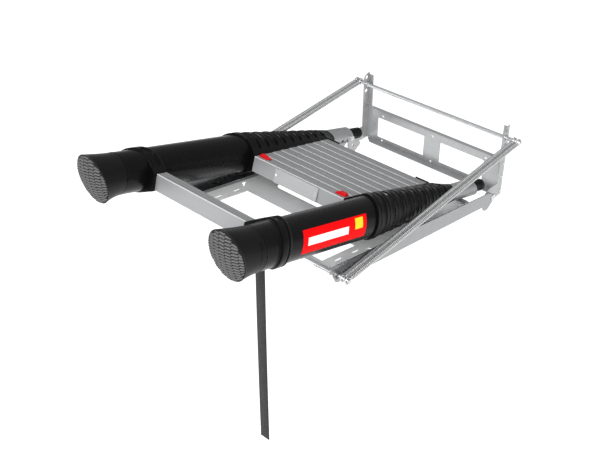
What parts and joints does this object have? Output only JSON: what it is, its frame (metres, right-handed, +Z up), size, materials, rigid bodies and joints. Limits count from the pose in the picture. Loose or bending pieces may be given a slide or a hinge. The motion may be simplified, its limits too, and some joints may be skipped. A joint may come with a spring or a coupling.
{
  "type": "telescopic attic ladder",
  "caption": "Telescopic loft ladder on a spring-balanced wall frame: it swings down from the hatch and its nested tube sections slide out one by one.",
  "frame": {"origin": "centre of the six wall screw holes, on the face of the mounting frame that lies against the wall", "axes": "+X across the ladder towards the strap's side, +Y into the wall, +Z up; the closed ladder points along -Y and rises towards its feet"},
  "size_m": [0.482, 0.8814, 0.6202],
  "materials": {
    "tube_aluminium": "anodised, fine drawn lines",
    "tread_aluminium": "anodised extrusion with ribbed top",
    "black_tube": "black powder coat, satin",
    "black_plastic": "moulded black nylon, satin",
    "red_plastic": "moulded red, semi gloss",
    "foot_rubber": "moulded black rubber with short tread bars",
    "frame_steel": "light silver-grey coat over pressed sheet steel",
    "zinc_steel": "bright zinc plate",
    "spring_steel": "bright spring wire",
    "cover_plate": "brushed anodised plate",
    "strap_webbing": "woven black webbing"
  },
  "bodies": {
    "mounting_frame": {"wall_panel": "frame_steel", "left_upright": "frame_steel", "right_upright": "frame_steel", "upper_rod": "zinc_steel", "rod_collars": "zinc_steel", "frame_rivets": "zinc_steel", "pivot_pins": "zinc_steel"},
    "swing_frame": {"left_arm": "frame_steel", "right_arm": "frame_steel", "cross_plate": "frame_steel", "plate_rivets": "zinc_steel", "front_rod": "zinc_steel", "top_brackets": "frame_steel", "top_tubes": "tube_aluminium", "top_caps": "black_plastic", "cap_bolts": "zinc_steel"},
    "section_1": {"tubes_1": "black_tube", "collars_1": "black_plastic", "tread_1": "tread_aluminium", "feet": "foot_rubber", "lowest_step": "tread_aluminium", "step_clamps": "black_plastic", "tread_cover": "cover_plate"},
    "section_2": {"tubes_2": "tube_aluminium", "collars_2": "black_plastic", "tread_2": "tread_aluminium", "lock_pins_2": "zinc_steel"},
    "section_3": {"tubes_3": "tube_aluminium", "collars_3": "black_plastic", "tread_3": "tread_aluminium", "lock_pins_3": "zinc_steel"},
    "section_4": {"tubes_4": "tube_aluminium", "collars_4": "black_plastic", "tread_4": "tread_aluminium", "lock_pins_4": "zinc_steel"},
    "section_5": {"tubes_5": "tube_aluminium", "collars_5": "black_plastic", "tread_5": "tread_aluminium", "lock_pins_5": "zinc_steel"},
    "section_6": {"tubes_6": "tube_aluminium", "collars_6": "black_plastic", "tread_6": "tread_aluminium", "lock_pins_6": "zinc_steel"},
    "section_7": {"tubes_7": "tube_aluminium", "collars_7": "black_plastic", "tread_7": "tread_aluminium", "lock_pins_7": "zinc_steel"},
    "section_8": {"tubes_8": "tube_aluminium", "collars_8": "black_plastic", "tread_8": "tread_aluminium", "lock_pins_8": "zinc_steel"},
    "section_9": {"tubes_9": "tube_aluminium", "collars_9": "black_plastic", "tread_9": "tread_aluminium", "lock_pins_9": "zinc_steel"},
    "left_release": {"left_button": "red_plastic"},
    "right_release": {"right_button": "red_plastic"},
    "springs": {"springs": "spring_steel"},
    "spring_ends": {"spring_hooks": "spring_steel"},
    "pull_strap": {"strap": "strap_webbing"}
  },
  "joints": [
    {"name": "ladder_swing", "type": "hinge", "parent": "mounting_frame", "child": "swing_frame", "pos_m": [0, -0.0585, -0.02], "axis": [1, 0, 0], "range_deg": [0, 85], "stiffness_Nm_per_rad": 22, "springref_deg": -171.89},
    {"name": "section_9_slide", "type": "slide", "parent": "swing_frame", "child": "section_9", "axis": [0, -0.9573, 0.289], "range_m": [0, 0.2488]},
    {"name": "section_8_slide", "type": "slide", "parent": "section_9", "child": "section_8", "axis": [0, -0.9573, 0.289], "range_m": [0, 0.2488]},
    {"name": "section_7_slide", "type": "slide", "parent": "section_8", "child": "section_7", "axis": [0, -0.9573, 0.289], "range_m": [0, 0.2488]},
    {"name": "section_6_slide", "type": "slide", "parent": "section_7", "child": "section_6", "axis": [0, -0.9573, 0.289], "range_m": [0, 0.2488]},
    {"name": "section_5_slide", "type": "slide", "parent": "section_6", "child": "section_5", "axis": [0, -0.9573, 0.289], "range_m": [0, 0.2488]},
    {"name": "section_4_slide", "type": "slide", "parent": "section_5", "child": "section_4", "axis": [0, -0.9573, 0.289], "range_m": [0, 0.2488]},
    {"name": "section_3_slide", "type": "slide", "parent": "section_4", "child": "section_3", "axis": [0, -0.9573, 0.289], "range_m": [0, 0.2488]},
    {"name": "section_2_slide", "type": "slide", "parent": "section_3", "child": "section_2", "axis": [0, -0.9573, 0.289], "range_m": [0, 0.2488]},
    {"name": "section_1_slide", "type": "slide", "parent": "section_2", "child": "section_1", "axis": [0, -0.9573, 0.289], "range_m": [0, 0.2488]},
    {"name": "left_button", "type": "slide", "parent": "section_1", "child": "left_release", "axis": [1, 0, 0], "range_m": [0, 0.008], "stiffness_N_per_m": 400, "springref_m": -0.006},
    {"name": "right_button", "type": "slide", "parent": "section_1", "child": "right_release", "axis": [-1, 0, 0], "range_m": [0, 0.008], "stiffness_N_per_m": 400, "springref_m": -0.006},
    {"name": "spring_swing", "type": "hinge", "parent": "mounting_frame", "child": "springs", "pos_m": [0, -0.009, 0.1125], "axis": [1, 0, 0], "range_deg": [0, 72]},
    {"name": "spring_stretch", "type": "slide", "parent": "springs", "child": "spring_ends", "axis": [0, -0.9976, -0.0696], "range_m": [0, 0.1], "deforming": ["springs"]},
    {"name": "strap_hang", "type": "hinge", "parent": "section_1", "child": "pull_strap", "pos_m": [0.137, -0.74976, 0.1746], "axis": [1, 0, 0], "range_deg": [-87, 0]}
  ],
  "couplings": [
    {"joint": "spring_swing", "follows": "ladder_swing", "ratio": 0.82948},
    {"joint": "spring_stretch", "follows": "ladder_swing", "m_per_rad": 0.065469},
    {"joint": "strap_hang", "follows": "ladder_swing", "ratio": -1}
  ]
}
